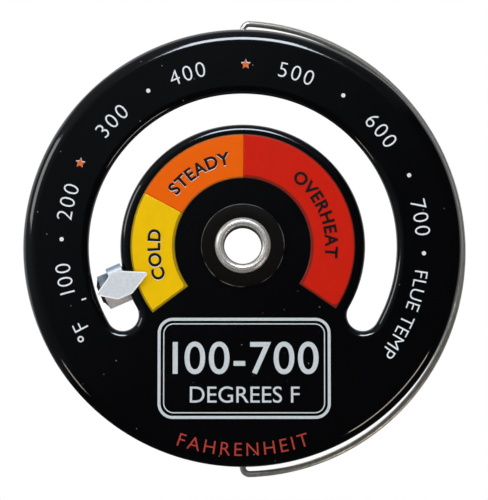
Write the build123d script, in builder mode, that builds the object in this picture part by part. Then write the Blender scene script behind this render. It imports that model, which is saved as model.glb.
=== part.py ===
"""Magnetic flue thermometer: an enamelled pressed-steel dial with an arched slot, a spiral of
bimetal strip behind it whose twisted end carries an arrow folded through the slot, a pot magnet
on the back, a hollow rivet through the lot, and a wire bail swinging in the rim.

The dial stands upright and faces -Y, with +Z up and +X to the reader's right. The origin is on
the axis of the hollow rivet, in the plane of the dial's front face. Millimetres and degrees;
angles on the dial are counted anticlockwise from the reader's right.
"""

from build123d import *
import os
from math import cos, sin, radians, sqrt

# Dial: a disc pressed from sheet, with its rim and the edges of its slot turned back
dial_dia = 64.0
sheet = 0.8
rim_depth = 4.0
rim_bend = 2.0
slot_outer_r = 22.4
slot_inner_r = 17.8
slot_half_angle = 120.0
lip_bend = 1.0
lip_depth = 1.4

# Colour band: three panels of thick enamel fired onto the dial
band_inner_r = 9.85
band_outer_r = 16.3
band_height = 0.2
band_bevel = 0.12
band_start_angle = 216.8
low_to_normal_angle = 151.6
normal_to_high_angle = 89.4
band_end_angle = -34.3

# Hollow rivet and the washer under its rolled head
rivet_bore_r = 2.7
rivet_wall = 0.35
rivet_head_r = 4.05
rivet_clinch_r = 3.8
rivet_hole_clearance = 0.05
washer_r = 6.05
washer_thickness = 0.5
washer_edge = 0.1

# Pot magnet: a ring magnet in a steel cup
magnet_r = 6.35
magnet_hole_r = 4.4
magnet_length = 6.4
magnet_edge = 0.3
magnet_clearance = 0.05
cup_wall = 0.6
cup_bend = 0.9

# Bimetal strip: spiral, bend, quarter twist and flat arm
strip_width = 5.1
strip_thickness = 0.35
coil_inner_r = 8.5
coil_pitch = 0.85
coil_half_turns = 7
coil_to_dial = 0.8
arm_angle = 203.5
arm_offset = 1.85
arm_before_neck = 0.25
arm_after_neck = 1.65
arm_bend_r = 1.5
arm_to_lip = 0.3
arm_tongue_length = 0.55
arm_tongue_width = 2.75
twist_sections = 6

# Coil bracket: a stamped plate clamped by the rivet, with one tab that holds the spiral
bracket_thickness = 0.6
bracket_r = 6.3
tab_thickness = 0.5
tab_span_angle = 32.0
tab_bend = 0.5

# Small rivet that fastens the spiral's inner end to the tab
pin_r = 0.5
pin_head_r = 0.95
pin_head_height = 0.28

# Arrow: aluminium, folded over the edge of the arm through the slot
arrow_thickness = 0.35
arrow_to_dial = 0.6
arrow_offset = 1.8
arrow_inner_reach = 3.45
arrow_outer_reach = 2.75
arrow_neck_side = 1.67
arrow_far_side = 1.87
arrow_corner = 0.3
neck_to_slot = 0.2
neck_share_of_slot = 0.48
neck_corner = 0.15
fold_front_bend = 1.1
fold_gap = 0.05
fold_back_reach = 3.9

# Wire bail
wire_r = 0.45
bail_to_rim = 0.6
bail_corner_r = 1.0
bail_swing_angle = 9.5
bail_pivot_depth = 2.9
bail_leg_inside_rim = 1.1
bail_running_clearance = 0.06

# Worked out from the sizes above
dial_r = dial_dia / 2
slot_mid_r = (slot_outer_r + slot_inner_r) / 2
slot_width = slot_outer_r - slot_inner_r
rivet_hole_r = rivet_bore_r + rivet_wall + rivet_hole_clearance
bracket_back = sheet + bracket_thickness
cup_floor_back = bracket_back + cup_wall
cup_inner_r = magnet_r + magnet_clearance
cup_outer_r = cup_inner_r + cup_wall
coil_front = sheet + coil_to_dial
coil_middle = coil_front + strip_width / 2
coil_centre_shift = coil_pitch / 4
coil_outer_r = coil_inner_r + (coil_half_turns - 1) * coil_pitch / 2
tab_outer_r = coil_inner_r - strip_thickness / 2
arm_front = lip_depth + arm_to_lip
arm_middle = arm_front + strip_thickness / 2
arm_back = arm_front + strip_thickness
fold_inside = arm_offset + strip_width / 2 + fold_gap
fold_outside = fold_inside + arrow_thickness
neck_start = sqrt((slot_inner_r + neck_to_slot) ** 2 - fold_inside**2)
neck_end = neck_start + neck_share_of_slot * slot_width
arm_flat_start = neck_start - arm_before_neck
arm_end = neck_end + arm_after_neck
arrow_back = -arrow_to_dial
arrow_front = arrow_back - arrow_thickness
bail_r = dial_r + bail_to_rim + wire_r


def facing(depth):
    """The plane parallel to the dial at a depth behind its front face, seen from the front."""
    return Plane(origin=(0, depth, 0), x_dir=(1, 0, 0), z_dir=(0, -1, 0))


def facing_arm(depth):
    """The same plane turned so that its x runs outwards along the arm."""
    along = (cos(radians(arm_angle)), 0, sin(radians(arm_angle)))
    return Plane(origin=(0, depth, 0), x_dir=along, z_dir=(0, -1, 0))


def across_arm(distance):
    """A section plane of the arm: x runs anticlockwise round the dial, y points forwards."""
    flat = facing_arm(0)
    return Plane(origin=flat.from_local_coords((distance, 0, 0)), x_dir=flat.y_dir, z_dir=flat.x_dir)


def ring_sector(inner_r, outer_r, start, end, centre=(0, 0), mode=Mode.ADD):
    """Adds a piece of a flat ring, between two angles, to the sketch that is open."""
    outer = CenterArc(centre, outer_r, start, end - start, mode=Mode.PRIVATE)
    inner = CenterArc(centre, inner_r, start, end - start, mode=Mode.PRIVATE)
    ends = [Line(outer @ t, inner @ t, mode=Mode.PRIVATE) for t in (0, 1)]
    make_face([outer, *ends, inner], mode=mode)


def arched_slot(width, mode=Mode.ADD):
    """Adds the outline of the round-ended slot that arches over the dial's middle."""
    edges = slot_mid_r - width / 2, slot_mid_r + width / 2
    ring_sector(*edges, 90 - slot_half_angle, 90 + slot_half_angle, mode=mode)
    for end_angle in (90 - slot_half_angle, 90 + slot_half_angle):
        with PolarLocations(slot_mid_r, 1, start_angle=end_angle):
            Circle(width / 2, mode=mode)


# Dial plate: a cake of the outer shape with rounded front edges, hollowed from the back to the
# sheet's thickness, so that rim and slot edges are turned back as a press turns them
with BuildPart() as dial_plate:
    with BuildSketch(facing(0)):
        Circle(dial_r)
        arched_slot(slot_width, mode=Mode.SUBTRACT)
    extrude(amount=-rim_depth)
    front_edges = dial_plate.faces().sort_by(Axis.Y)[0].edges()
    rim_edge = front_edges.sort_by(SortBy.LENGTH)[-1]
    slot_edges = front_edges - ShapeList([rim_edge])
    fillet(rim_edge, rim_bend)
    fillet(slot_edges, lip_bend)
    offset(amount=-sheet, openings=dial_plate.faces().sort_by(Axis.Y)[-1])
    with BuildSketch(facing(rim_depth)):
        arched_slot(slot_width + 2 * lip_bend)
    extrude(amount=rim_depth - lip_depth, mode=Mode.SUBTRACT)
    with BuildSketch(facing(0)):
        Circle(rivet_hole_r)
    extrude(amount=-sheet, mode=Mode.SUBTRACT)
    with BuildSketch(Plane.XY):
        with Locations((0, bail_pivot_depth)):
            Circle(wire_r + bail_running_clearance)
    extrude(amount=dial_r, both=True, mode=Mode.SUBTRACT)
dial_plate.part.label = "dial_plate"


def enamel_panel(start, end):
    """One fired panel of the colour band, standing proud of the dial with bevelled edges."""
    with BuildPart() as panel:
        with BuildSketch(facing(0)):
            ring_sector(band_inner_r, band_outer_r, start, end)
        extrude(amount=band_height)
        chamfer(panel.faces().sort_by(Axis.Y)[0].edges(), band_bevel)
    return panel


low_zone = enamel_panel(low_to_normal_angle, band_start_angle)
low_zone.part.label = "low_zone"
normal_zone = enamel_panel(normal_to_high_angle, low_to_normal_angle)
normal_zone.part.label = "normal_zone"
high_zone = enamel_panel(band_end_angle, normal_to_high_angle)
high_zone.part.label = "high_zone"

# Washer under the rivet's head
with BuildPart() as front_washer:
    with BuildSketch(facing(0)):
        Circle(washer_r)
        Circle(rivet_hole_r, mode=Mode.SUBTRACT)
    extrude(amount=washer_thickness)
    chamfer(front_washer.faces().sort_by(Axis.Y)[0].edges(), washer_edge)
front_washer.part.label = "front_washer"

# Hollow rivet: a tube whose two ends are curled outwards, the front one onto the washer and the
# back one onto the floor of the magnet's cup
with BuildPart() as hollow_rivet:
    with BuildSketch(Plane.XY):
        barrel_r = rivet_bore_r + rivet_wall
        with BuildLine():
            bore = Line((rivet_bore_r, -washer_thickness), (rivet_bore_r, cup_floor_back))
            barrel = Line((barrel_r, -washer_thickness), (barrel_r, cup_floor_back))
            for tube_end, curl_r, way in ((0, rivet_head_r, -1), (1, rivet_clinch_r, 1)):
                seat = (bore @ tube_end).Y
                top_r = (curl_r - rivet_bore_r) / 2
                ThreePointArc(
                    bore @ tube_end,
                    (rivet_bore_r + top_r, seat + way * top_r),
                    (curl_r, seat),
                )
                Polyline(
                    (curl_r, seat),
                    (curl_r - rivet_wall, seat),
                    (rivet_bore_r + top_r, seat + way * (top_r - rivet_wall)),
                    barrel @ tube_end,
                )
        make_face()
    revolve(axis=Axis.Y)
hollow_rivet.part.label = "hollow_rivet"

# Pin station: the axis of the small rivet, pointing outwards through the middle of the tab
pin_angle = arm_angle + 180 - tab_span_angle / 2
spiral_axis = facing_arm(coil_middle).from_local_coords((coil_centre_shift, 0, 0))
pin_station = Plane(
    origin=spiral_axis,
    x_dir=(0, 1, 0),
    z_dir=(cos(radians(pin_angle)), 0, sin(radians(pin_angle))),
)

# Coil bracket: plate and tongue, and the tab that turns back along the spiral's inner end
with BuildPart() as coil_bracket:
    with BuildSketch(facing_arm(sheet)):
        Circle(bracket_r)
        ring_sector(
            bracket_r / 2, tab_outer_r, 180 - tab_span_angle, 180, centre=(coil_centre_shift, 0)
        )
        Circle(rivet_hole_r, mode=Mode.SUBTRACT)
    extrude(amount=-bracket_thickness)
    with BuildSketch(facing_arm(sheet)):
        ring_sector(
            tab_outer_r - tab_thickness,
            tab_outer_r,
            180 - tab_span_angle,
            180,
            centre=(coil_centre_shift, 0),
        )
    extrude(amount=-(coil_to_dial + strip_width))
    front_arcs = coil_bracket.faces().sort_by(Axis.Y)[0].edges().filter_by(GeomType.CIRCLE)
    fillet(front_arcs.sort_by(SortBy.RADIUS)[-1], tab_bend)
    with BuildSketch(pin_station):
        Circle(pin_r)
    extrude(amount=tab_outer_r, mode=Mode.SUBTRACT)
coil_bracket.part.label = "coil_bracket"

# Spiral: half-turn arcs whose centres alternate either side of the axis, so that each arc runs
# on smoothly into the next and the pitch stays the same all the way out
with BuildPart() as bimetal_coil:
    with BuildSketch(facing_arm(coil_front)):
        with BuildLine():
            sides = []
            for side in (strip_thickness / 2, -strip_thickness / 2):
                for half_turn in range(coil_half_turns):
                    side_arc = CenterArc(
                        (coil_centre_shift * (-1) ** half_turn, 0),
                        coil_outer_r - half_turn * coil_pitch / 2 + side,
                        180 * (half_turn % 2),
                        180,
                    )
                    if half_turn == 0:
                        sides.append([side_arc @ 0])
                sides[-1].append(side_arc @ 1)
            Line(sides[0][0], sides[1][0])
            Line(sides[0][1], sides[1][1])
        make_face()
    extrude(amount=-strip_width)
    with BuildSketch(pin_station):
        Circle(pin_r)
    extrude(amount=tab_outer_r + 2 * strip_thickness, mode=Mode.SUBTRACT)
bimetal_coil.part.label = "bimetal_coil"

# Small rivet: its heads are shaped to the curved faces that they hold together
with BuildPart() as coil_rivet:
    pin_end = pin_station.offset(tab_outer_r - tab_thickness - pin_head_height)
    pin_length = tab_thickness + strip_thickness + 2 * pin_head_height
    with BuildSketch(pin_end):
        Circle(pin_head_r)
    extrude(amount=pin_length)
    with BuildSketch(facing_arm(coil_front)):
        with Locations((coil_centre_shift, 0)):
            Circle(tab_outer_r + strip_thickness)
            Circle(tab_outer_r - tab_thickness, mode=Mode.SUBTRACT)
    extrude(amount=-strip_width, mode=Mode.SUBTRACT)
    with BuildSketch(pin_end):
        Circle(pin_r)
    extrude(amount=pin_length)
coil_rivet.part.label = "coil_rivet"

# Arm: the strip leaves the spiral, bends outwards, makes a quarter twist while it comes forward
# to the slot, and lies flat behind the arrow
with BuildPart() as bimetal_arm:
    coil_end_r = coil_outer_r + coil_centre_shift
    twist_start = coil_end_r + arm_bend_r
    with BuildSketch(facing_arm(coil_front)):
        with BuildLine():
            run = Line((coil_end_r, 0), (coil_end_r, arm_bend_r - arm_offset))
            RadiusArc(run @ 1, (twist_start, -arm_offset), arm_bend_r)
        trace(line_width=strip_thickness)
    extrude(amount=-strip_width)
    for step in range(twist_sections):
        share = step / (twist_sections - 1)
        turn = 90 * share
        eased = share * share * (3 - 2 * share)
        distance = twist_start + share * (arm_flat_start - twist_start)
        depth = coil_middle + eased * (arm_middle - coil_middle)
        with BuildSketch(across_arm(distance)):
            with Locations((-arm_offset, -depth)):
                Rectangle(strip_width, strip_thickness, rotation=90 - turn)
    loft()
    with BuildSketch(facing_arm(arm_front)):
        with Locations((arm_flat_start, -arm_offset)):
            Rectangle(arm_end - arm_flat_start, strip_width, align=(Align.MIN, Align.CENTER))
        with Locations((arm_end, -arm_offset)):
            Rectangle(2 * arm_tongue_length, arm_tongue_width)
    extrude(amount=-strip_thickness)
bimetal_arm.part.label = "bimetal_arm"

# Arrow: a double-pointed blade with a neck that folds back through the slot and grips the arm
with BuildPart() as arrow:
    fold_back_bend = fold_gap + arrow_thickness
    near_edge = -arrow_offset - arrow_neck_side
    far_edge = -arrow_offset + arrow_far_side
    with BuildSketch(facing_arm(arrow_back)) as blade:
        with BuildLine():
            Polyline(
                (neck_start - arrow_inner_reach, -arrow_offset),
                (neck_start, near_edge),
                (neck_start, fold_front_bend - fold_outside),
                (neck_end, fold_front_bend - fold_outside),
                (neck_end, near_edge),
                (neck_end + arrow_outer_reach, -arrow_offset),
                (neck_end, far_edge),
                (neck_start, far_edge),
                close=True,
            )
        make_face()
        fillet(blade.vertices().group_by(Axis.Y)[1], neck_corner)
        blade_corners = blade.vertices().filter_by(lambda v: v.Y > near_edge + neck_corner)
        fillet(blade_corners, arrow_corner)
    extrude(amount=arrow_thickness)
    with BuildSketch(across_arm(neck_start)):
        with BuildLine():
            half = arrow_thickness / 2
            FilletPolyline(
                (fold_front_bend + arrow_thickness - fold_outside, -arrow_front - half),
                (half - fold_outside, -arrow_front - half),
                (half - fold_outside, -arm_back - half),
                (fold_back_reach - fold_outside, -arm_back - half),
                radius=[fold_front_bend - half, fold_back_bend - half],
            )
        trace(line_width=arrow_thickness)
    extrude(amount=neck_end - neck_start)
arrow.part.label = "arrow"

# Cup of the pot magnet
with BuildPart() as magnet_cup:
    with BuildSketch(facing(bracket_back)):
        Circle(cup_outer_r)
    extrude(amount=-(cup_wall + magnet_length))
    fillet(magnet_cup.faces().sort_by(Axis.Y)[0].edges(), cup_bend)
    with BuildSketch(facing(cup_floor_back)):
        Circle(cup_inner_r)
    extrude(amount=-magnet_length, mode=Mode.SUBTRACT)
    with BuildSketch(facing(bracket_back)):
        Circle(rivet_hole_r)
    extrude(amount=-cup_wall, mode=Mode.SUBTRACT)
magnet_cup.part.label = "magnet_cup"

# Ring magnet, seated on the cup's floor with its free face level with the cup's lip
with BuildPart() as ring_magnet:
    with BuildSketch(facing(cup_floor_back)):
        Circle(magnet_r)
        Circle(magnet_hole_r, mode=Mode.SUBTRACT)
    extrude(amount=-magnet_length)
    chamfer(ring_magnet.edges().filter_by(GeomType.CIRCLE), magnet_edge)
ring_magnet.part.label = "ring_magnet"

# Wire bail: half a ring of spring wire, with a leg at each end that turns in through the rim
with BuildPart() as wire_bail:
    swing = radians(bail_swing_angle)
    bail_plane = Plane(
        origin=(0, bail_pivot_depth, 0),
        x_dir=(cos(swing), sin(swing), 0),
        z_dir=(sin(swing), -cos(swing), 0),
    )
    corner_height = sqrt((bail_r - bail_corner_r) ** 2 - bail_corner_r**2)
    corner_turn = Vector(bail_corner_r, corner_height).get_angle(Vector(1, 0))
    leg_end = dial_r - sheet - bail_leg_inside_rim
    with BuildLine(bail_plane):
        Line((0, leg_end), (0, corner_height))
        CenterArc((bail_corner_r, corner_height), bail_corner_r, 180, corner_turn - 180)
        CenterArc((0, 0), bail_r, corner_turn, -2 * corner_turn)
        CenterArc((bail_corner_r, -corner_height), bail_corner_r, -corner_turn, corner_turn - 180)
        Line((0, -corner_height), (0, -leg_end))
    with BuildSketch(Plane(origin=(0, bail_pivot_depth, leg_end), z_dir=(0, 0, 1))):
        Circle(wire_r)
    sweep()
wire_bail.part.label = "wire_bail"

os.makedirs("parts", exist_ok=True)
for piece in (
    dial_plate,
    low_zone,
    normal_zone,
    high_zone,
    front_washer,
    hollow_rivet,
    coil_bracket,
    coil_rivet,
    bimetal_coil,
    bimetal_arm,
    arrow,
    magnet_cup,
    ring_magnet,
    wire_bail,
):
    export_step(piece.part, f"parts/{piece.part.label}.step")
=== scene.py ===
"""Looks of a magnetic flue thermometer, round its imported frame.

The dial faces -Y with +Z up, and the origin is on the hollow rivet's axis, in the plane of the
dial's front face. Sizes are millimetres and degrees, with angles counted anticlockwise from the
reader's right, and MM turns them to the metres of the scene.
"""

import bmesh
import bpy
import numpy as np
from mathutils import Matrix, Vector


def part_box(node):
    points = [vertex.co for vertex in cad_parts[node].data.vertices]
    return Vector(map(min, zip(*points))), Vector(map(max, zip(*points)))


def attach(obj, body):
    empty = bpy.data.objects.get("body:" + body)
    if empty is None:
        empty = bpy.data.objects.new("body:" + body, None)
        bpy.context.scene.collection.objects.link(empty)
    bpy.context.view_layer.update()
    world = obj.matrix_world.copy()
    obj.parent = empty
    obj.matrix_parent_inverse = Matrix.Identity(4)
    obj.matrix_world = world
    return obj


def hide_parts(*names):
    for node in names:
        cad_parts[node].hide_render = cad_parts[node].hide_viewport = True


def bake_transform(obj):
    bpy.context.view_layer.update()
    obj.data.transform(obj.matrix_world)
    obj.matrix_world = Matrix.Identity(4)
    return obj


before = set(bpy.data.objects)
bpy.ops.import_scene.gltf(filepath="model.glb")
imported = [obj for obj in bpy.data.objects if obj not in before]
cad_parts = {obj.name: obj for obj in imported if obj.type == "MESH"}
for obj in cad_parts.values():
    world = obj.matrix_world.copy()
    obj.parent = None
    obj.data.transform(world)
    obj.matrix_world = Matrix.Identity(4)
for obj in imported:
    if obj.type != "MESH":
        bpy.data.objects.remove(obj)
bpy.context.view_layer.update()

MM = 0.001

# Dial: pressed sheet with its rim and slot edges turned back
dial_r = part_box("dial_plate")[1].x / MM
rim_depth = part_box("dial_plate")[1].y / MM
sheet = 0.8
rim_bend = 2.0
lip_bend = 1.0
lip_depth = 1.4
edge_round = 0.12
flat_margin = 0.15
slot_outer_r = 22.4
slot_inner_r = 17.8
slot_ends = (-30.0, 210.0)
slot_mid_r = (slot_outer_r + slot_inner_r) / 2
slot_half_width = (slot_outer_r - slot_inner_r) / 2

# Colour band
band_inner_r = 9.85
band_outer_r = 16.3
band_height = 0.2
band_round = 0.22
band_ends = (-34.3, 216.8)
zone_angles = {
    "low_zone": (151.6, band_ends[1]),
    "normal_zone": (89.4, 151.6),
    "high_zone": (band_ends[0], 89.4),
}
# Each panel's enamel, with the colours of its face, its darker border and its very edge; the border
# is partly thinner enamel and partly painted shade of the sloped edge
zone_enamels = {
    "low_zone": ("yellow_enamel", "#f6c500", "#a6860a", "#8a7828"),
    "normal_zone": ("orange_enamel", "#f26400", "#b4601c", "#855029"),
    "high_zone": ("red_enamel", "#d01e09", "#84241a", "#682820"),
}
# Widths of the darker borders, partly painted shade of the sloped edges: along the band's inner
# edge, its outer edge and its two ends
zone_shaded_borders = {
    "low_zone": (0.43, 0.27, 0.34),
    "normal_zone": (0.24, 0.22, 0.3),
    "high_zone": (0.46, 0.22, 0.32),
}

# Hollow rivet, washer and pot magnet
rivet_bore_r = 2.7
rivet_wall = 0.35
rivet_hole_r = 3.1
rivet_head_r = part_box("hollow_rivet")[1].x / MM
rivet_clinch_r = 3.8
turning_pitch = 0.32
first_turning_r = 2.95
washer_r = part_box("front_washer")[1].x / MM
washer_thickness = 0.5
washer_round = 0.12
cup_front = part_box("magnet_cup")[0].y / MM
cup_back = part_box("magnet_cup")[1].y / MM
cup_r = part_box("magnet_cup")[1].x / MM
cup_wall = 0.6
cup_bend = 0.9
magnet_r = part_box("ring_magnet")[1].x / MM
magnet_hole_r = 4.4
magnet_edge = 0.3

# Bimetal strip: spiral, bend, quarter twist and flat arm
strip_width = 5.1
strip_thickness = 0.35
strip_round = 0.1
coil_inner_r = 8.5
coil_pitch = 0.85
coil_half_turns = 7
coil_middle = (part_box("bimetal_coil")[0].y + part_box("bimetal_coil")[1].y) / 2 / MM
coil_outer_r = coil_inner_r + (coil_half_turns - 1) * coil_pitch / 2
coil_shift = coil_pitch / 4
arm_angle = 203.5
arm_offset = 1.85
arm_end = 21.3
arm_flat_start = 17.19
arm_bend_r = 1.5
arm_middle = 1.875
arm_corner = 0.2
tongue_length = 0.55
tongue_half_width = 1.375
tongue_corner = 0.12

# Arrow: where its neck and its blade's two tips lie along the arm, and across it its blade and the
# painted shade over its fold
neck_span = (17.44, 19.65)
blade_middle = -1.8
blade_sides = (-3.47, 0.07)
blade_tips = (neck_span[0] - 3.45, neck_span[1] + 2.75)
fold_shade_span = (-4.35, -3.75)

# Wire bail. The rings that dome its ends are this far out and this wide, in shares of the wire's
# radius.
wire_r = 0.45
bail_gap = 0.6
bail_r = dial_r + bail_gap + wire_r
bail_corner_r = 1.0
bail_swing = 9.5
bail_pivot_depth = 2.9
leg_inside = 1.1
bail_leg_end = dial_r - sheet - leg_inside
bail_dome = ((0.175, 0.55), (0.07, 0.85))

# Print: heights of its capitals and figures, the thickness of the ink, and its places on the dial,
# each a radius and an angle of the middle of a word or mark. The capitals of the built-in font are
# a share of its size, and its figure 1 stands too far from the next.
cap_share = 0.682
one_kerning = -8
figure_height = 2.14
degree_height = 2.1
title_height = 1.86
ink_height = 0.03
zone_ink_height = 0.06
underprint_shift = Vector((0.02, 0, -0.1))
star_underprint_shift = (0.02, 0.11)
figure_places = {
    "100": (26.29, 191.2),
    "200": (26.25, 166.0),
    "300": (26.39, 136.35),
    "400": (26.5, 107.75),
    "500": (26.42, 72.85),
    "600": (26.27, 39.85),
    "700": (26.19, 9.05),
}
dot_places = ((26.3, 178.0), (26.52, 121.3), (26.41, 56.3), (26.28, 23.0), (26.3, -2.45))
dot_r = 0.31
star_places = ((26.52, 153.05), (26.52, 89.1))
star_r = 0.73
star_waist = 0.45
degree_letter_place = (26.3, 206.7)
degree_ring_place = (27.1, 210.1)
degree_ring_radii = (0.46, 0.24)
tick_reach = (23.95, 24.65)
tick_width = 0.22
tick_angle = 198.7
pipe_title_place = (26.18, -22.8)
unit_title_place = (29.5, 270)
zone_word_r = 12.9
zone_words = {
    "low_zone": ("COLD", 186),
    "normal_zone": ("STEADY", 121),
    "high_zone": ("OVERHEAT", 23),
}

# Plate: the middles of its frame and its two words, rightwards and upwards from the rivet, and each
# line's width, height, corner radius and breadth
plate_centre = (0.2, -17.8)
plate_lines = {
    "plate_outer_line": (25.0, 14.6, 2.2, 0.42),
    "plate_inner_line": (23.4, 13.0, 1.5, 0.16),
}
range_place = (-0.15, -16.3)
range_height = 4.6
unit_place = (0.2, -21.6)
unit_height = 2.3

# Studio
lamp_distance = 420
room_lean = (-0.8, 0.0, 1.0)
floor_r = 600
floor_height = -60


def arc(centre, radius, start, end, steps):
    """Points of an arc: its centre plus the radius times the cosine and sine of even angles."""
    turn = np.radians(np.linspace(start, end, steps + 1))
    return np.array(centre) + radius * np.stack([np.cos(turn), np.sin(turn)], axis=-1)


def polar(radius, angle):
    """The point of the dial's plane at a radius and an angle in degrees."""
    turn = np.radians(angle)
    return np.stack([radius * np.cos(turn), radius * np.sin(turn)], axis=-1)


def at_depth(flat, depth):
    """Points of the dial's plane, pushed back to a depth behind its front face."""
    return np.stack([flat[..., 0], np.broadcast_to(depth, flat.shape[:-1]), flat[..., 1]], axis=-1)


def turned(flat, angle):
    """Points of the dial's plane, turned about the rivet's axis."""
    turn = np.radians(angle)
    x, z = flat[..., 0], flat[..., 1]
    return np.stack([x * np.cos(turn) - z * np.sin(turn), x * np.sin(turn) + z * np.cos(turn)], -1)


def from_arm_axes(out, round_, depth):
    """Points given outwards along the arm, anticlockwise across it, and by their depth."""
    out, round_, depth = np.broadcast_arrays(out, round_, depth)
    return at_depth(turned(np.stack([out, round_], axis=-1), arm_angle), depth)


def quads(rows, columns, close_rows=False, close_columns=False, first=0):
    """Quads between neighbours on a grid numbered row by row; a closed way joins last to first."""
    row = np.arange(rows if close_rows else rows - 1)[:, None]
    column = np.arange(columns if close_columns else columns - 1)[None, :]
    next_row, next_column = (row + 1) % rows, (column + 1) % columns
    corners = (
        row * columns + column,
        row * columns + next_column,
        next_row * columns + next_column,
        next_row * columns + column,
    )
    return (first + np.stack(corners, axis=-1)).reshape(-1, 4).tolist()


def new_piece(name, points, faces, finish, body, stands_for=(), merge=False, flats=()):
    """A mesh of points in millimetres and faces, turned outwards, that rides on its body. Points
    that fall together can be merged, and open edges at the depths of its flats are filled."""
    mesh = bpy.data.meshes.new(name)
    mesh.from_pydata((np.asarray(points).reshape(-1, 3) * MM).tolist(), [], faces)
    shape = bmesh.new()
    shape.from_mesh(mesh)
    if merge:
        bmesh.ops.remove_doubles(shape, verts=shape.verts, dist=1e-7)
    open_edges = [edge for edge in shape.edges if edge.is_boundary] if flats else []
    for depth in flats:
        loop = [e for e in open_edges if abs(e.verts[0].co.y / MM - depth) < flat_margin]
        bmesh.ops.triangle_fill(shape, edges=loop, use_beauty=True)
    bmesh.ops.recalc_face_normals(shape, faces=shape.faces)
    shape.to_mesh(mesh)
    shape.free()
    return place_piece(name, mesh, finish, body, stands_for)


def place_piece(name, mesh, finish, body, stands_for=(), sharp=35):
    """An object for a finished mesh, smooth but for edges sharper than an angle, on its body if it
    has just one."""
    piece = bpy.data.objects.new(name, mesh)
    bpy.context.scene.collection.objects.link(piece)
    mesh.materials.append(finish)
    mesh.shade_smooth()
    mesh.set_sharp_from_angle(angle=np.radians(sharp))
    if body:
        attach(piece, body)
    if stands_for:
        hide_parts(*stands_for)
    return piece


# ---------------------------------------------------------------- finishes


def linear(hex_colour):
    """A colour written as sRGB hex, in the linear values that the shaders take."""
    srgb = np.array([int(hex_colour[i : i + 2], 16) for i in (1, 3, 5)]) / 255
    low = srgb / 12.92
    high = ((srgb + 0.055) / 1.055) ** 2.4
    return (*np.where(srgb <= 0.04045, low, high).tolist(), 1.0)


def add(tree, kind, inputs=None, **settings):
    """Adds a node, sets its properties, and fills each named input with a value or a link."""
    node = tree.nodes.new(kind)
    for name, value in settings.items():
        setattr(node, name, value)
    for socket, value in (inputs or {}).items():
        if isinstance(value, bpy.types.NodeSocket):
            tree.links.new(value, node.inputs[socket])
        else:
            node.inputs[socket].default_value = value
    return node


def new_finish(name, **surface):
    """A material with its shader's own sockets set, and its object coordinates."""
    material = bpy.data.materials.new(name)
    material.use_nodes = True
    tree = material.node_tree
    shader = tree.nodes["Principled BSDF"]
    for socket, value in surface.items():
        shader.inputs[socket.replace("_", " ")].default_value = value
    place = add(tree, "ShaderNodeTexCoord").outputs["Object"]
    return material, tree, shader, place


def per_grain(size):
    """The scale of a pattern whose grains are this many millimetres across."""
    return 1 / (size * MM)


def grain(tree, place, size, detail=3.0):
    """A noise pattern whose grains are this many millimetres across."""
    inputs = {"Vector": place, "Scale": per_grain(size), "Detail": detail}
    return add(tree, "ShaderNodeTexNoise", inputs).outputs["Fac"]


def spread(tree, value, low, high, out_low=0.0, out_high=1.0):
    """A value's range from low to high, stretched to another range and held at its ends."""
    inputs = {0: value, 1: low, 2: high, 3: out_low, 4: out_high}
    return add(tree, "ShaderNodeMapRange", inputs).outputs[0]


def blend_colours(tree, share, first, second):
    """The first colour where the share is 0 and the second where it is 1."""
    inputs = {0: share, 6: first, 7: second}
    return add(tree, "ShaderNodeMix", inputs, data_type="RGBA").outputs[2]


def combined(tree, operation, *values):
    """One value worked out from others, such as their sum, their product or the larger one."""
    return add(tree, "ShaderNodeMath", dict(enumerate(values)), operation=operation).outputs[0]


def mottling(tree, place, size, low=0.0, high=1.0):
    """A value that wanders between low and high from one grain of a pattern to the next."""
    return spread(tree, grain(tree, place, size), 0.3, 0.7, low, high)


def connect(tree, shader, **values):
    """Lets worked-out values drive the shader's sockets."""
    for socket, value in values.items():
        tree.links.new(value, shader.inputs[socket.replace("_", " ")])


def axis_distance(tree, place):
    """How far a point lies from the rivet's axis."""
    flat = add(tree, "ShaderNodeVectorMath", {0: place, 1: (1, 0, 1)}, operation="MULTIPLY")
    reach = add(tree, "ShaderNodeVectorMath", {0: flat.outputs[0]}, operation="LENGTH")
    return reach.outputs["Value"]


def relief(tree, shader, height, depth):
    """A fine unevenness of the surface, this many millimetres deep."""
    inputs = {"Height": height, "Distance": depth * MM, "Strength": 1.0}
    connect(tree, shader, Normal=add(tree, "ShaderNodeBump", inputs).outputs["Normal"])


def black_porcelain_enamel():
    """Fired porcelain enamel on steel: deep black, wet gloss, faint orange peel, dust specks."""
    finish, tree, shader, place = new_finish("black_porcelain_enamel", IOR=1.5)
    cells = add(tree, "ShaderNodeTexVoronoi", {"Vector": place, "Scale": per_grain(1.65)})
    near = spread(tree, cells.outputs["Distance"], 0.03, 0.07, 1.0, 0.0)
    chosen = add(tree, "ShaderNodeSeparateColor", {"Color": cells.outputs["Color"]}).outputs[0]
    speck = combined(tree, "MULTIPLY", near, spread(tree, chosen, 0.6, 0.75))
    colour = blend_colours(tree, speck, linear("#040405"), linear("#7c7d7b"))
    connect(tree, shader, Base_Color=colour, Roughness=mottling(tree, place, 6.0, 0.07, 0.12))
    relief(tree, shader, grain(tree, place, 0.9, 1.0), 0.004)
    return finish


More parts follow.
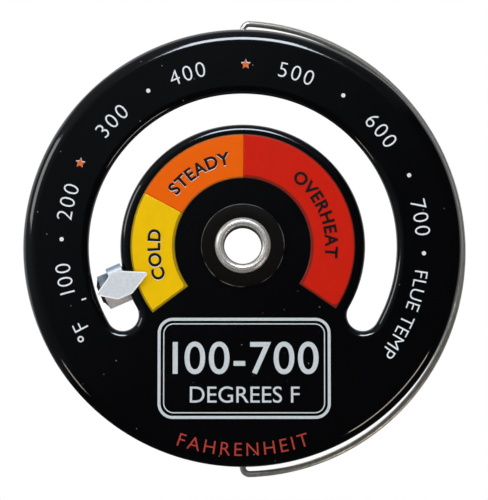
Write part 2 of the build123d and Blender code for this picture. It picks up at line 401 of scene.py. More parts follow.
def colour_enamel(name, face_hex, border_hex, rim_hex):
    """A fired colour panel: even and satin, with a thin darker border that darkens further to its
    rim, partly the thinner enamel of its sloped edge and partly painted shade of that slope. The
    panel's own values say how far a point lies in from its edges, in widths of the border."""
    finish, tree, shader, place = new_finish(
        name, Roughness=0.24, IOR=1.5, Specular_IOR_Level=0.1
    )
    inset = add(tree, "ShaderNodeAttribute", attribute_name="border_widths").outputs["Fac"]
    inset = combined(tree, "ADD", inset, mottling(tree, place, 0.8, -0.07, 0.07))
    # The border is partly the thinner enamel of the panel's sloped edge and partly painted shade of
    # that slope
    in_shaded_border = spread(tree, inset, 0.94, 1.06, 1.0, 0.0)
    at_rim = spread(tree, inset, 0.12, 0.38, 1.0, 0.0)
    shade_and_dull_patches = combined(tree, "MAXIMUM", in_shaded_border, mottling(tree, place, 1.6, 0.0, 0.08))
    border = blend_colours(tree, at_rim, linear(border_hex), linear(rim_hex))
    connect(tree, shader, Base_Color=blend_colours(tree, shade_and_dull_patches, linear(face_hex), border))
    relief(tree, shader, grain(tree, place, 0.7, 1.0), 0.004)
    return finish


def screen_print(name, ink_hex, thin_hex):
    """Fired screen-printing ink: flat and satin, with a few thin spots."""
    finish, tree, shader, place = new_finish(
        name, Roughness=0.28, IOR=1.5, Specular_IOR_Level=0.3
    )
    thin = spread(tree, grain(tree, place, 0.35), 0.55, 0.8, 0.0, 0.5)
    connect(tree, shader, Base_Color=blend_colours(tree, thin, linear(ink_hex), linear(thin_hex)))
    return finish


def fibre_washer():
    """Black vulcanised fibre: matt, faintly mottled, with a pale, broken painted highlight along
    its outer edge.
    """
    finish, tree, shader, place = new_finish(
        "black_fibre_washer", Roughness=0.28, IOR=1.5, Specular_IOR_Level=0.1
    )
    face = blend_colours(tree, mottling(tree, place, 0.5), linear("#0b0907"), linear("#13100d"))
    reach = axis_distance(tree, place)
    # Painted highlight: a pale ring, broken by a coarse grain, just inside the outer edge
    at_edge = spread(tree, reach, (washer_r - 0.09) * MM, (washer_r - 0.05) * MM)
    edge_highlight = combined(tree, "MULTIPLY", at_edge, spread(tree, grain(tree, place, 3.0), 0.42, 0.58))
    connect(tree, shader, Base_Color=blend_colours(tree, edge_highlight, face, linear("#84847f")))
    relief(tree, shader, grain(tree, place, 0.12, 2.0), 0.006)
    return finish


def metal(name, light_hex, dark_hex, roughness, grain_size, bright=1.0, stretch=(1, 1, 1)):
    """Bare or plated metal: its colour and gloss vary with a grain that a rolling can stretch, and
    a share of it can be a dull film that scatters light as paint does."""
    finish, tree, shader, place = new_finish(name, Metallic=bright)
    along = add(tree, "ShaderNodeMapping", {"Vector": place, "Scale": stretch}).outputs[0]
    patches = grain(tree, along, grain_size)
    tone = spread(tree, patches, 0.3, 0.7)
    colour = blend_colours(tree, tone, linear(light_hex), linear(dark_hex))
    gloss = spread(tree, patches, 0.3, 0.7, roughness - 0.05, roughness + 0.07)
    connect(tree, shader, Base_Color=colour, Roughness=gloss)
    relief(tree, shader, grain(tree, along, grain_size / 3), 0.003)
    return finish


def arm_axes(tree, place):
    """How far a point lies outwards along the arm, and how far across it."""
    turn = np.radians(arm_angle)
    ways = ((np.cos(turn), 0, np.sin(turn)), (-np.sin(turn), 0, np.cos(turn)))
    return (
        add(tree, "ShaderNodeVectorMath", {0: place, 1: way}, operation="DOT_PRODUCT").outputs[1]
        for way in ways
    )


def painted_side_highlights(tree, along, across):
    """A value of 1 along the sheared sides of the arrow's blade, where a white highlight is
    painted, and 0 elsewhere.

    Each side is a straight line in the arm's own axes, from one corner to the next with the blade
    on its left, and a point's way in from it is measured along the line's own normal.
    """
    near, far = blade_sides
    left, right = neck_span
    inner_tip, outer_tip = ((tip, blade_middle) for tip in blade_tips)
    corners = ((right, near), outer_tip, (right, far), (left, far), inner_tip, (left, near))
    axes = add(tree, "ShaderNodeCombineXYZ", {"X": along, "Y": across}).outputs[0]
    side_highlight = 0.0
    for start, end in zip(corners, corners[1:]):
        run = np.subtract(end, start) / np.hypot(*np.subtract(end, start))
        inwards = (-run[1], run[0], 0.0)
        depth = add(tree, "ShaderNodeVectorMath", {0: axes, 1: inwards}, operation="DOT_PRODUCT")
        edge = np.dot(start, inwards[:2])
        close = spread(tree, depth.outputs[1], (edge + 0.12) * MM, (edge + 0.2) * MM, 1.0, 0.0)
        side_highlight = combined(tree, "MAXIMUM", close, side_highlight)
    on_blade = spread(tree, across, (near - 0.03) * MM, (near + 0.03) * MM)
    return combined(tree, "MULTIPLY", side_highlight, on_blade)


def sheared_aluminium():
    """Aluminium sheet: pale and satin, with painted shade, duller and bluish, over its fold, and a
    white painted highlight along its cut sides.
    """
    finish, tree, shader, place = new_finish("sheared_aluminium")
    along, across = arm_axes(tree, place)
    patches = grain(tree, place, 0.5)
    tone = spread(tree, patches, 0.3, 0.7)
    face = blend_colours(tree, tone, linear("#e6e5e4"), linear("#d9d8d8"))
    # Painted shade: the fold is darkened and made bluish across its width
    fold_shade = spread(tree, across, fold_shade_span[0] * MM, fold_shade_span[1] * MM, 1.0, 0.0)
    face = blend_colours(tree, fold_shade, face, linear("#a0adbc"))
    # Painted highlight: white and less metallic along the blade's cut sides
    side_highlight = painted_side_highlights(tree, along, across)
    connect(
        tree,
        shader,
        Base_Color=blend_colours(tree, side_highlight, face, linear("#ffffff")),
        Metallic=spread(tree, side_highlight, 0.0, 1.0, 0.65, 0.0),
        Roughness=spread(tree, patches, 0.3, 0.7, 0.5, 0.62),
    )
    relief(tree, shader, grain(tree, place, 0.17), 0.003)
    return finish


def rolled_bimetal():
    """Rolled bimetal strip: satin, with painted shade that turns it darker and bluish across
    towards the arrow's fold, and a painted shadow past its sheared end.
    """
    finish, tree, shader, place = new_finish("rolled_bimetal", Metallic=0.35, Roughness=0.48)
    along, across = arm_axes(tree, place)
    rolled = add(tree, "ShaderNodeMapping", {"Vector": place, "Scale": (1.0, 0.25, 1.0)})
    streaks = mottling(tree, rolled.outputs[0], 0.5)
    # Painted shade: darker and bluish towards the side that lies under the arrow's fold
    tint = spread(tree, across, -3.5 * MM, -1.0 * MM, 1.0, 0.0)
    light = blend_colours(tree, tint, linear("#f6edea"), linear("#96a4b3"))
    dark = blend_colours(tree, tint, linear("#e0d6d2"), linear("#74808d"))
    face = blend_colours(tree, streaks, light, dark)
    # Painted shadow of the arrow: near black on the tongue past the sheared end
    end_shadow = spread(tree, along, (arm_end + 0.03) * MM, (arm_end + 0.1) * MM)
    connect(tree, shader, Base_Color=blend_colours(tree, end_shadow, face, linear("#1d1b1a")))
    relief(tree, shader, streaks, 0.002)
    return finish


def turned_nickel():
    """Nickel-plated rivet steel: silvery and satin, ringed by turning marks, with painted shade in
    its bore. The rings are a sine of the distance from the axis, and a fine grain breaks them up."""
    finish, tree, shader, place = new_finish("nickel_plated_steel", Metallic=0.6, Roughness=0.33)
    reach = axis_distance(tree, place)
    turns = 2 * np.pi / (turning_pitch * MM)
    start = 1.5 * np.pi - turns * first_turning_r * MM
    wave = combined(tree, "SINE", combined(tree, "MULTIPLY_ADD", reach, turns, start))
    rings = spread(tree, wave, -1, 1)
    marks = combined(tree, "MULTIPLY_ADD", rings, 0.4, mottling(tree, place, 0.16, 0.0, 0.6))
    face = blend_colours(tree, marks, linear("#fffdf8"), linear("#a19488"))
    # Painted shade: darker where the curl turns down into the bore
    bore_shade = spread(tree, reach, (rivet_bore_r + 0.02) * MM, (rivet_bore_r + 0.14) * MM, 1.0, 0.0)
    connect(tree, shader, Base_Color=blend_colours(tree, bore_shade, face, linear("#4b4644")))
    relief(tree, shader, rings, -0.008)
    return finish


def ferrite():
    """Sintered ferrite: near black, dull, with ground faces and fine pores."""
    finish, tree, shader, place = new_finish("sintered_ferrite", Roughness=0.55, IOR=1.8)
    tone = spread(tree, grain(tree, place, 0.3), 0.35, 0.7)
    colour = blend_colours(tree, tone, linear("#2b2b2d"), linear("#3d3c3c"))
    connect(tree, shader, Base_Color=colour)
    relief(tree, shader, grain(tree, place, 0.15), 0.01)
    return finish


black_enamel = black_porcelain_enamel()
zone_finishes = {node: colour_enamel(*enamel) for node, enamel in zone_enamels.items()}
white_ink = screen_print("white_ink", "#e8edf3", "#8d9196")
orange_ink = screen_print("orange_ink", "#e06a28", "#8a4a2c")
red_ink = screen_print("red_ink", "#b43a30", "#5e1c16")
silver_ink = screen_print("silver_ink", "#cfd6da", "#8d9398")
black_ink = screen_print("black_ink", "#0b0b0b", "#1c1b1a")
washer_fibre = fibre_washer()
nickel = turned_nickel()
bracket_steel = metal("stamped_steel", "#b0b0ae", "#93928f", 0.4, 0.6, 0.9)
bimetal = rolled_bimetal()
aluminium = sheared_aluminium()
cup_steel = metal("zinc_plated_steel", "#c4c8ca", "#aaaeb0", 0.32, 0.9)
spring_wire = metal("drawn_spring_wire", "#dcd8ce", "#b9b5ab", 0.32, 0.5, 0.75, (1.0, 1.0, 0.3))
magnet_ferrite = ferrite()


# ---------------------------------------------------------------- dial and colour band


def turned_edge(bend, depth):
    """Section of a sheet edge turned back, as pairs of distance from the edge and depth.

    Flat, quarter bend, wall, rounded end, and back by the inner bend to the sheet's back face.
    """
    return np.concatenate(
        [
            [(bend + flat_margin, 0)],
            arc((bend, bend), bend, -90, -180, 14),
            arc((edge_round, depth - edge_round), edge_round, 180, 90, 4),
            arc((sheet - edge_round, depth - edge_round), edge_round, 90, 0, 4),
            arc((bend, bend), bend - sheet, 180, 270, 8),
            [(bend + flat_margin, sheet)],
        ]
    )


def carried(outline, into_metal, section):
    """A section carried round an outline: each point is the outline's own, moved into the metal by
    the section's first value and back by its second."""
    flat = outline[:, None, :] + section[None, :, 0, None] * into_metal[:, None, :]
    return at_depth(flat, section[None, :, 1])


def round_slot():
    """The slot's outline and its directions into the metal: outer arc, cap, inner arc, cap."""
    right, left = slot_ends
    runs = (
        ((0, 0), slot_outer_r, right, left, 1, 260),
        (polar(slot_mid_r, left), slot_half_width, left, left + 180, 1, 40),
        ((0, 0), slot_inner_r, left, right, -1, 220),
        (polar(slot_mid_r, right), slot_half_width, right - 180, right, 1, 40),
    )
    outline = [arc(c, r, a, b, steps)[:-1] for c, r, a, b, way, steps in runs]
    inwards = [way * arc((0, 0), 1, a, b, steps)[:-1] for c, r, a, b, way, steps in runs]
    return np.concatenate(outline), np.concatenate(inwards)


def round_edge(radius, way, steps):
    """A round edge's outline and its directions into the metal, outwards if way is 1."""
    ring = arc((0, 0), 1, 0, 360, steps)[:-1]
    return radius * ring, way * ring


def build_dial():
    """Three sheet edges, at rim, slot and centre hole, with flat fillings front and back."""
    square_edge = np.array([(flat_margin, 0), (0, 0), (0, sheet), (flat_margin, sheet)])
    edges = (
        (round_edge(dial_r, -1, 360), turned_edge(rim_bend, rim_depth)),
        (round_slot(), turned_edge(lip_bend, lip_depth)),
        (round_edge(rivet_hole_r, 1, 72), square_edge),
    )
    points, faces = [], []
    for (outline, into_metal), section in edges:
        first = sum(len(p) for p in points)
        points.append(carried(outline, into_metal, section).reshape(-1, 3))
        faces += quads(len(outline), len(section), close_rows=True, first=first)
    new_piece(
        "enamelled_dial", np.concatenate(points), faces, black_enamel, "dial",
        ["dial_plate"], flats=(0, sheet),
    )


def eased_steps(length, edge, steps, edge_steps):
    """Places from 0 to a length, closer together within an edge's width of both ends."""
    near = edge * (1 - np.cos(np.linspace(0, np.pi / 2, edge_steps + 1)))
    middle = np.linspace(edge, length - edge, steps + 1)
    return np.concatenate([near[:-1], middle, length - near[::-1][1:]])


def build_zone(node, start, end):
    """A pillow on the dial: its height is a quarter circle of the distance to its nearest edge.

    The two parameters are the distance along the middle radius and the distance across the band.
    """
    middle_r = (band_inner_r + band_outer_r) / 2
    length = np.radians(end - start) * middle_r
    along = eased_steps(length, band_round, int(length / 0.4), 6)
    across = eased_steps(band_outer_r - band_inner_r, band_round, 12, 6)
    u, v = np.meshgrid(along, across, indexing="ij")
    inset = np.minimum.reduce([u, length - u, v, v[:, -1:] - v])
    share = np.clip(inset / band_round, 0, 1)
    height = band_height * np.sqrt(1 - (1 - share) ** 2)
    flat = polar(band_inner_r + v, start + np.degrees(u / middle_r))
    points = np.concatenate([at_depth(flat, -height), at_depth(flat, 0.0)])
    size = len(along) * len(across)
    faces = quads(len(along), len(across)) + quads(len(along), len(across), first=size)
    name = node.replace("zone", "zone_panel")
    finish, slot = zone_finishes[node], zone_enamels[node][0]
    panel = new_piece(name, points, faces, finish, "dial", [node], merge=True)
    write_border_widths(panel, *zone_shaded_borders[node])


def write_border_widths(panel, at_inner, at_outer, at_ends):
    """Keeps how far each point lies in from the band's edges, for its finish: the smallest of its
    distances, each divided by the border's width along that edge."""
    count = len(panel.data.vertices)
    place = np.zeros(count * 3, np.float32)
    panel.data.vertices.foreach_get("co", place)
    x, _, z = place.reshape(-1, 3).T / MM
    radius = np.hypot(x, z)
    right, left = band_ends
    angle = (np.degrees(np.arctan2(z, x)) - right) % 360
    angle = np.where(angle > (left - right + 360) / 2, angle - 360, angle)
    along = np.radians(angle) * radius
    to_end = np.radians(left - right) * radius - along
    inwards = (radius - band_inner_r, band_outer_r - radius, along, to_end)
    borders = (at_inner, at_outer, at_ends, at_ends)
    widths = np.minimum.reduce([way / border for way, border in zip(inwards, borders)])
    values = panel.data.attributes.new("border_widths", "FLOAT", "POINT")
    values.data.foreach_set("value", np.clip(widths, 0, 9).astype(np.float32))


build_dial()
for node, angles in zone_angles.items():
    build_zone(node, *angles)


# ---------------------------------------------------------------- turned pieces


def turned_piece(name, section, finish, node, steps=160):
    """A closed section of radius and depth pairs, turned round the rivet's axis."""
    angle = (np.arange(steps) * 360 / steps)[:, None]
    points = at_depth(polar(section[None, :, 0], angle), section[None, :, 1])
    faces = quads(steps, len(section), close_rows=True, close_columns=True)
    new_piece(name, points, faces, finish, "dial", [node])


def rounded_ring(inner_r, outer_r, front, back, rounding):
    """Section of a flat ring with all four edges rounded."""
    r = rounding
    return np.concatenate(
        [
            arc((outer_r - r, front + r), r, -90, 0, 5),
            arc((outer_r - r, back - r), r, 0, 90, 5),
            arc((inner_r + r, back - r), r, 90, 180, 5),
            arc((inner_r + r, front + r), r, 180, 270, 5),
        ]
    )


def curl(seat, outer_r, way):
    """Section of one rolled rivet end: half a circle over the crest, and half back inside it."""
    crest = (outer_r - rivet_bore_r) / 2
    centre = (rivet_bore_r + crest, seat)
    over = arc(centre, crest, 180, 180 + 180 * -way, 20)
    under = arc(centre, crest - rivet_wall, 180 + 180 * -way, 180, 12)
    return np.concatenate([over, under])


def build_rivet():
    """Tube wall between two rolled ends, the front one on the washer."""
    front = curl(-washer_thickness, rivet_head_r, -1)
    back = curl(cup_front + cup_wall, rivet_clinch_r, 1)
    section = np.concatenate([front, back[::-1]])
    turned_piece("rolled_rivet", section, nickel, "hollow_rivet")


def build_cup():
    """Section of the drawn cup: rounded outer corner, wall with a soft lip, floor with its hole."""
    lip = 0.15
    inner_r = cup_r - cup_wall
    section = np.concatenate(
        [
            arc((cup_r - cup_bend, cup_front + cup_bend), cup_bend, -90, 0, 12),
            arc((cup_r - lip, cup_back - lip), lip, 0, 90, 4),
            arc((inner_r + lip, cup_back - lip), lip, 90, 180, 4),
            [(inner_r, cup_front + cup_wall), (rivet_hole_r, cup_front + cup_wall)],
            [(rivet_hole_r, cup_front)],
        ]
    )
    turned_piece("drawn_magnet_cup", section, cup_steel, "magnet_cup")


washer_section = rounded_ring(rivet_hole_r, washer_r, -washer_thickness, 0.0, washer_round)
turned_piece("fibre_washer", washer_section, washer_fibre, "front_washer")
build_rivet()
build_cup()
magnet_section = rounded_ring(magnet_hole_r, magnet_r, cup_front + cup_wall, cup_back, magnet_edge)
turned_piece("ferrite_ring", magnet_section, magnet_ferrite, "ring_magnet")


# ---------------------------------------------------------------- bimetal strip


def strip_section(across_steps):
    """Section of the rolled strip: pairs across its width and its thickness, edges rounded."""
    half_w, half_t, r = strip_width / 2, strip_thickness / 2, strip_round
    wide = np.linspace(-half_w + r, half_w - r, across_steps + 1)[1:-1]
    return np.concatenate(
        [
            arc((half_w - r, half_t - r), r, 0, 90, 3),
            np.stack([wide[::-1], np.full(len(wide), half_t)], axis=-1),
            arc((r - half_w, half_t - r), r, 90, 180, 3),
            arc((r - half_w, r - half_t), r, 180, 270, 3),
            np.stack([wide, np.full(len(wide), -half_t)], axis=-1),
            arc((half_w - r, r - half_t), r, 270, 360, 3),
        ]
    )


def strip_faces(rows, columns):
    """Quads round a strip carried along a path, with its two ends closed."""
    last = (rows - 1) * columns
    ends = [list(range(columns)), list(range(last, last + columns))]
    return quads(rows, columns, close_columns=True) + ends


def build_coil():
    """Spiral of half turns: each is half a circle whose centre is a quarter pitch to one side of
    the axis or the other, and whose radius is half a pitch smaller than the one before it.
    """
    section = strip_section(6)
    turn = np.linspace(0, 180 * coil_half_turns, 60 * coil_half_turns + 1)
    half_turn = np.minimum(turn // 180, coil_half_turns - 1)
    radius = coil_outer_r - half_turn * coil_pitch / 2
    centre = coil_shift * (-1.0) ** half_turn
    cosine, sine = np.cos(np.radians(turn)), np.sin(np.radians(turn))
    across, thick = section[None, :, 0], section[None, :, 1]
    out = centre[:, None] + (radius[:, None] + thick) * cosine[:, None]
    round_ = (radius[:, None] + thick) * sine[:, None]
    points = from_arm_axes(out, round_, coil_middle + across)
    faces = strip_faces(len(turn), len(section))
    coil = new_piece("bimetal_spiral", points, faces, bimetal, None)
    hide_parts("bimetal_coil")
    from_arm_axes(arm_end, 0, 0) * MM
    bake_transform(coil)


def build_arm():
    """The strip carried along its path: out of the spiral, round a quarter bend, and outwards while
    it turns a quarter about its own path and comes forward on a smooth step to lie flat.

    In the flat end, a point's distance is held back by the rounded corners, and the tongue in the
    middle adds its length.
    """
    section = strip_section(48)
    across, thick = section[None, :, 0], section[None, :, 1]
    coil_end = coil_outer_r + coil_shift
    bend_out, bend_round = coil_end + arm_bend_r, arm_bend_r - arm_offset
    bend = np.linspace(180, 270, 13)[:, None]
    cosine, sine = np.cos(np.radians(bend)), np.sin(np.radians(bend))
    bend_points = from_arm_axes(
        bend_out + (arm_bend_r + thick) * cosine,
        bend_round + (arm_bend_r + thick) * sine,
        coil_middle + across,
    )
    start_points = from_arm_axes(coil_end - thick, 0.0, coil_middle + across)
    share = np.linspace(0, 1, 37)[1:, None]
    turn = np.radians(90 * share)
    depth = coil_middle + share**2 * (3 - 2 * share) * (arm_middle - coil_middle)
    twist_points = from_arm_axes(
        bend_out + share * (arm_flat_start - bend_out),
        -arm_offset - across * np.sin(turn) - thick * np.cos(turn),
        depth + across * np.cos(turn) - thick * np.sin(turn),
    )
    corner = np.clip(np.abs(across) - (strip_width / 2 - arm_corner), 0, arm_corner)
    held_back = arm_corner - np.sqrt(arm_corner**2 - corner**2)
    tongue = np.clip((tongue_half_width - np.abs(across)) / tongue_corner, 0, 1)
    reach = arm_end - held_back + tongue_length * np.sqrt(tongue)
    flat_share = np.linspace(0, 1, 9)[1:, None]
    flat_points = from_arm_axes(
        arm_flat_start + flat_share * (reach - arm_flat_start),
        -arm_offset - across,
        arm_middle - thick,
    )
    rows = [start_points, bend_points, twist_points, flat_points]
    points = np.concatenate(rows)
    faces = strip_faces(len(points), len(section))
    new_piece("twisted_arm", points, faces, bimetal, "pointer", ["bimetal_arm"])


build_coil()
build_arm()


# ---------------------------------------------------------------- arrow, bail and bracket


def softened(name, node, finish, body, width):
    """A merged copy of a frame node with its sheared edges broken by a small rounding."""
    shape = bmesh.new()
    shape.from_mesh(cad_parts[node].data)
    bmesh.ops.remove_doubles(shape, verts=shape.verts, dist=1e-6)
    bmesh.ops.dissolve_limit(
        shape, angle_limit=np.radians(1), verts=shape.verts, edges=shape.edges
    )
    mesh = bpy.data.meshes.new(name)
    shape.to_mesh(mesh)
    shape.free()
    piece = place_piece(name, mesh, finish, body, [node], sharp=50)
    rounding = piece.modifiers.new("broken_edges", "BEVEL")
    rounding.width = width * MM
    rounding.segments = 3
    rounding.limit_method = "ANGLE"
    rounding.angle_limit = np.radians(40)


def build_bail():
    """A round wire along a flat path of leg, corner, great arc, corner and leg, which is turned
    about the legs' axis by the bail's swing. Two smaller rings dome each of its ends."""
    inner = bail_r - bail_corner_r
    corner_height = np.sqrt(inner**2 - bail_corner_r**2)
    reach = 90 - np.degrees(np.arcsin(bail_corner_r / inner))
    half = np.concatenate(
        [
            [(0, bail_leg_end), (0, corner_height - 0.01)],
            arc((bail_corner_r, corner_height), bail_corner_r, 180, reach, 10),
            arc((0, 0), bail_r, reach, 0, 70)[1:],
        ]
    )
    path = np.concatenate([half, half[::-1][1:] * (1, -1)])
    along = np.gradient(path, axis=0)
    along /= np.linalg.norm(along, axis=1, keepdims=True)
    steps, shares = np.array(bail_dome).T
    start = path[0] - along[0] * steps[:, None] * wire_r
    end = (path[-1] + along[-1] * steps[:, None] * wire_r)[::-1]
    path = np.concatenate([start, path, end])
    along = np.concatenate([along[:1], along[:1], along, along[-1:], along[-1:]])
    size = np.ones(len(path))
    size[:2], size[-2:] = shares, shares[::-1]
    ring = np.radians(np.arange(24) * 15)[None, :]
    sideways = wire_r * size[:, None] * np.cos(ring)
    lift = wire_r * size[:, None] * np.sin(ring)
    x = path[:, 0:1] + along[:, 1:2] * sideways
    z = path[:, 1:2] - along[:, 0:1] * sideways
    swing = np.radians(bail_swing)
    across = x * np.cos(swing) - lift * np.sin(swing)
    depth = bail_pivot_depth + x * np.sin(swing) + lift * np.cos(swing)
    points = at_depth(np.stack(np.broadcast_arrays(across, z), axis=-1), depth)
    faces = strip_faces(len(path), 24)
    new_piece("spring_bail", points, faces, spring_wire, "bail", ["wire_bail"])


softened("folded_arrow", "arrow", aluminium, "pointer", 0.1)
softened("stamped_bracket", "coil_bracket", bracket_steel, "dial", 0.05)
softened("pin_rivet", "coil_rivet", cup_steel, "dial", 0.05)
build_bail()


# ---------------------------------------------------------------- print


def letter_shapes(words, height, bold=0.0, thickness=ink_height, pitch=1.0):
    """A mesh of raised words, with its points' places along the line, up from the middle of the
    capitals, and through the print, in millimetres."""
    line = bpy.data.curves.new(words, "FONT")
    line.body = words
    line.size = 1.0
    line.align_x = "CENTER"
    line.space_character = pitch
    line.offset = bold
    for letter, kept in zip(words, line.body_format):
        kept.kerning = one_kerning if letter == "1" else 0
    share = cap_share + 2 * bold
    line.extrude = thickness / height * share / 2
    line.resolution_u = 6
    holder = bpy.data.objects.new(words, line)
    bpy.context.scene.collection.objects.link(holder)
    shown = holder.evaluated_get(bpy.context.evaluated_depsgraph_get())
    mesh = bpy.data.meshes.new_from_object(shown)
    bpy.data.objects.remove(holder)
    place = np.zeros(len(mesh.vertices) * 3, np.float32)
    mesh.vertices.foreach_get("co", place)
    x, y, z = place.reshape(-1, 3).T.astype(float) * height / share
    return mesh, x, y - height * (0.5 - bold / share), z


def print_words(name, mesh, flat, z, ink, lift=0.0, thickness=ink_height):
    """The words' mesh with its points at their places in the dial's plane, on the dial."""
    points = at_depth(flat, -lift - thickness / 2 - z) * MM
    mesh.vertices.foreach_set("co", points.astype(np.float32).ravel())
    mesh.name = name
    return place_piece(name, mesh, ink, "dial", sharp=30)


def arc_words(
    name, words, ink, height, place, bold=0.0, pitch=1.0, way=1, lift=0.0, thickness=ink_height
):
    """Raised words bent round the dial: a letter's way along the line becomes an angle and its
    height becomes a radius. Their tops point away from the rivet, or towards it if way is -1."""
    radius, middle = place
    mesh, x, y, z = letter_shapes(words, height, bold, thickness, pitch)
    flat = polar(radius + way * y, middle - way * np.degrees(x / radius))
    return print_words(name, mesh, flat, z, ink, lift, thickness)


def straight_words(name, words, height, middle, bold=0.0, pitch=1.0):
    """Raised words on a level line round a middle point."""
    mesh, x, y, z = letter_shapes(words, height, bold, ink_height, pitch)
    print_words(name, mesh, np.stack([x, y], axis=-1) + middle, z, silver_ink)


def flat_shape(name, outline, ink, height=ink_height):
    """A raised flat patch: its closed outline at the dial's face and again its own height up."""
    count = len(outline)
    points = np.concatenate([at_depth(outline, 0), at_depth(outline, -height)])
    faces = quads(2, count, close_columns=True)
    faces += [list(range(count)), list(range(count, 2 * count))]
    new_piece(name, points, faces, ink, "dial")


def raised_line(name, outer, inner, ink):
    """A raised line between two outlines: each at the dial's face and again the ink's height up."""
    rings = ((outer, 0), (outer, -ink_height), (inner, -ink_height), (inner, 0))
    points = np.concatenate([at_depth(outline, depth) for outline, depth in rings])
    faces = quads(4, len(outer), close_rows=True, close_columns=True)
    new_piece(name, points, faces, ink, "dial")


def round_patch(place, radius):
    """Outline of a circle round a place on the dial."""
    return polar(*place) + arc((0, 0), radius, 0, 360, 24)[:-1]


def star(place):
    """Outline of a five-pointed star: ten even angles, and every second radius is shorter."""
    point = np.arange(10)
    reach = star_r * np.where(point % 2 == 0, 1, star_waist)
    return polar(*place) + polar(reach, place[1] + 36 * point)


def rounded_frame(name, width, height, corner, line):
    """A raised line round a rounded rectangle: four straight sides and four quarter circles."""
    outlines = []
    for size in (corner, corner - line):
        half_w, half_h = width / 2 - corner, height / 2 - corner
        corners = ((half_w, half_h), (-half_w, half_h), (-half_w, -half_h), (half_w, -half_h))
        quarters = [arc(c, size, 90 * i, 90 * i + 90, 10) for i, c in enumerate(corners)]
        outlines.append(np.concatenate(quarters) + plate_centre)
    raised_line(name, *outlines, silver_ink)


def print_scale():
    """Figures, dots, stars, the degree mark, the tick and the two titles round the outer ring."""
    for figures, place in figure_places.items():
        name = "figures_" + figures
        arc_words(name, figures, white_ink, figure_height, place, bold=-0.012, pitch=1.2)
    for number, place in enumerate(dot_places, 1):
        flat_shape(f"scale_dot_{number}", round_patch(place, dot_r), white_ink)
    for number, place in enumerate(star_places, 1):
        under = star(place) + star_underprint_shift
        flat_shape(f"scale_star_{number}", star(place), orange_ink)
        flat_shape(f"star_underprint_{number}", under, white_ink, ink_height / 2)
    arc_words("degree_letter", "F", white_ink, degree_height, degree_letter_place, bold=-0.012)
    rings = [round_patch(degree_ring_place, radius) for radius in degree_ring_radii]
    raised_line("degree_ring", *rings, white_ink)
    (inner, outer), half = tick_reach, tick_width / 2
    tick = np.array([(inner, half), (inner, -half), (outer, -half), (outer, half)])
    flat_shape("scale_tick", turned(tick, tick_angle), white_ink)
    place = pipe_title_place
    arc_words("scale_title", "FLUE TEMP", white_ink, title_height, place, bold=-0.01, pitch=1.02)
    place = unit_title_place
    arc_words(
        "unit_title", "FAHRENHEIT", red_ink, title_height, place, bold=-0.006, pitch=1.25, way=-1
    )


def print_zone_words():
    """A black word on each panel, and below it on the two lighter ones the same in white, thinner
    and shifted a little."""
    for node, (words, angle) in zone_words.items():
        place = (zone_word_r, angle)
        shape = {"bold": 0.025, "pitch": 1.12, "lift": band_height}
        arc_words(
            node + "_word", words, black_ink, title_height, place,
            thickness=zone_ink_height, **shape,
        )
        if node != "high_zone":
            underprint = arc_words(
                node + "_underprint", words, white_ink, title_height, place,
                thickness=zone_ink_height / 2, **shape,
            )
            underprint.data.transform(Matrix.Translation(underprint_shift * MM))


def print_plate():
    """A plain rounded plate with the range and its unit."""
    for name, shape in plate_lines.items():
        rounded_frame(name, *shape)
    straight_words("plate_range", "100-700", range_height, range_place, bold=0.006, pitch=1.06)
    straight_words("plate_unit", "DEGREES F", unit_height, unit_place)


print_scale()
print_zone_words()
print_plate()


# ---------------------------------------------------------------- stage


def build_stage():
    """A pale round floor below the dial, seen only from above."""
    ring = arc((0, 0), floor_r, 0, 360, 96)[:-1]
    points = np.insert(ring, 2, floor_height, axis=1) * MM
    mesh = bpy.data.meshes.new("floor")
    mesh.from_pydata(points.tolist(), [], [list(range(len(points)))])
    floor = bpy.data.objects.new("floor", mesh)
    bpy.context.scene.collection.objects.link(floor)
    pale = linear("#f2f2f0")
    finish, tree, shader, _ = new_finish("pale_floor", Base_Color=pale, Roughness=0.8)
    under = add(tree, "ShaderNodeNewGeometry").outputs["Backfacing"]
    clear = add(tree, "ShaderNodeBsdfTransparent").outputs[0]
    shown = add(tree, "ShaderNodeMixShader", {0: under, 1: shader.outputs[0], 2: clear})
    tree.links.new(shown.outputs[0], tree.nodes["Material Output"].inputs["Surface"])
    mesh.materials.append(finish)
    floor.visible_glossy = False


def square_lamp(name, round_, off_axis, size, energy, colour):
    """A rectangular lamp, a set distance off and aimed at the rivet: so many degrees off the dial's
    axis, and round it at an angle of the dial. Its width runs round the axis."""
    lamp = bpy.data.lights.new(name, "AREA")
    lamp.shape = "RECTANGLE"
    lamp.size, lamp.size_y = size[0] * MM, size[1] * MM
    lamp.energy = energy
    lamp.color = linear(colour)[:3]
    holder = bpy.data.objects.new(name, lamp)
    tilt = np.radians(off_axis)
    way = Vector(at_depth(polar(np.sin(tilt), round_), -np.cos(tilt)))
    width_way = Vector(at_depth(polar(1, round_ + 90), 0))
    holder.location = way * lamp_distance * MM
    holder.rotation_euler = Matrix((width_way, way.cross(width_way), way)).transposed().to_euler()
    bpy.context.scene.collection.objects.link(holder)
    return holder


def soft_lamp(name, round_, off_axis, size, energy, colour):
    """A soft lamp that lights the colours and shows in no polished face."""
    holder = square_lamp(name, round_, off_axis, size, energy, colour)
    holder.visible_glossy = False


def reflector(name, round_, off_axis, spans, radiance, colour):
    """A bright card that only polished faces show, as wide and high as its two spans in degrees."""
    size = [2 * lamp_distance * np.tan(np.radians(span / 2)) for span in spans]
    energy = radiance * np.pi * size[0] * size[1] * MM**2
    holder = square_lamp(name, round_, off_axis, size, energy, colour)
    holder.visible_diffuse = False


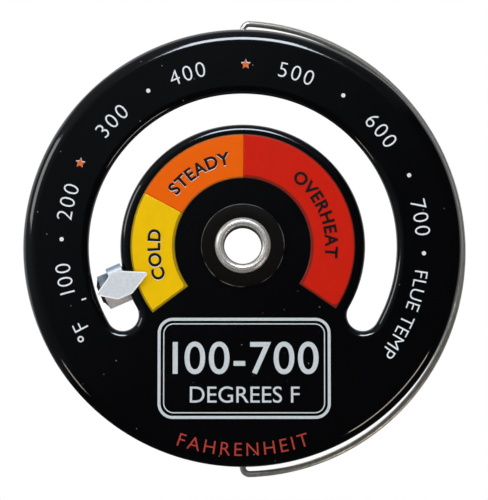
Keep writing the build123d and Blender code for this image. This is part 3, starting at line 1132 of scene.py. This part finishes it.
def build_world():
    """White to the camera; to polished faces, a dim room that gets lighter to the upper left."""
    world = bpy.data.worlds.new("studio")
    bpy.context.scene.world = world
    world.use_nodes = True
    tree = world.node_tree
    background = tree.nodes["Background"]
    way = add(tree, "ShaderNodeTexCoord").outputs["Generated"]
    lean = add(tree, "ShaderNodeVectorMath", {0: way, 1: room_lean}, operation="DOT_PRODUCT")
    wall = spread(tree, lean.outputs["Value"], 0.06, 0.17, 0.025, 0.13)
    ceiling = spread(tree, lean.outputs["Value"], 0.3, 0.9, 0.0, 0.2)
    room = combined(tree, "ADD", wall, ceiling)
    ray = add(tree, "ShaderNodeLightPath").outputs
    seen = combined(tree, "MAXIMUM", ray["Is Glossy Ray"], ray["Is Transmission Ray"])
    lit = add(tree, "ShaderNodeMix", {0: seen, 2: 0.55, 3: room}).outputs[0]
    shown = add(tree, "ShaderNodeMix", {0: ray["Is Camera Ray"], 2: lit, 3: 1.0}).outputs[0]
    tint = blend_colours(tree, seen, linear("#ffffff"), linear("#dbe6f2"))
    tree.links.new(shown, background.inputs["Strength"])
    tree.links.new(tint, background.inputs["Color"])


def build_camera():
    """A long lens a little below the dial's middle, as far off as its perspective asks."""
    distance, below, sensor, shown_mm = 380.0, 5.0, 36.0, 72.53
    camera = bpy.data.cameras.new("camera")
    camera.sensor_width = sensor
    camera.lens = distance * sensor / shown_mm
    camera.clip_start = 0.01
    holder = bpy.data.objects.new("camera", camera)
    turn = np.radians(below)
    holder.location = Vector((0, -distance * np.cos(turn), -distance * np.sin(turn))) * MM
    aim = Vector((0.18, 0, -0.65)) * MM
    holder.rotation_euler = (aim - holder.location).to_track_quat("-Z", "Y").to_euler()
    bpy.context.scene.collection.objects.link(holder)
    bpy.context.scene.camera = holder


build_stage()
build_world()
build_camera()
soft_lamp("top_softbox", 90, 50, (300, 200), 0.55, "#f4f8ff")
soft_lamp("left_softbox", 165, 55, (200, 200), 0.25, "#ffffff")
reflector("top_window", 90, 36, (19, 19), 22.0, "#e6f2ff")
reflector("left_window", 157, 66, (22, 24), 4.5, "#ffffff")
reflector("low_right_window", 318, 66, (29, 8), 9.6, "#ffeedd")
reflector("low_left_window", 214, 65, (9, 8), 8.0, "#ffeedd")
soft_lamp("back_softbox", 110, 135, (300, 200), 0.6, "#ffffff")
reflector("back_top_window", 90, 126, (60, 40), 0.7, "#ffffff")
reflector("back_left_window", 165, 132, (50, 50), 0.6, "#ffffff")
reflector("back_right_window", 15, 132, (50, 50), 0.6, "#ffffff")

bpy.context.scene.view_settings.view_transform = "Standard"
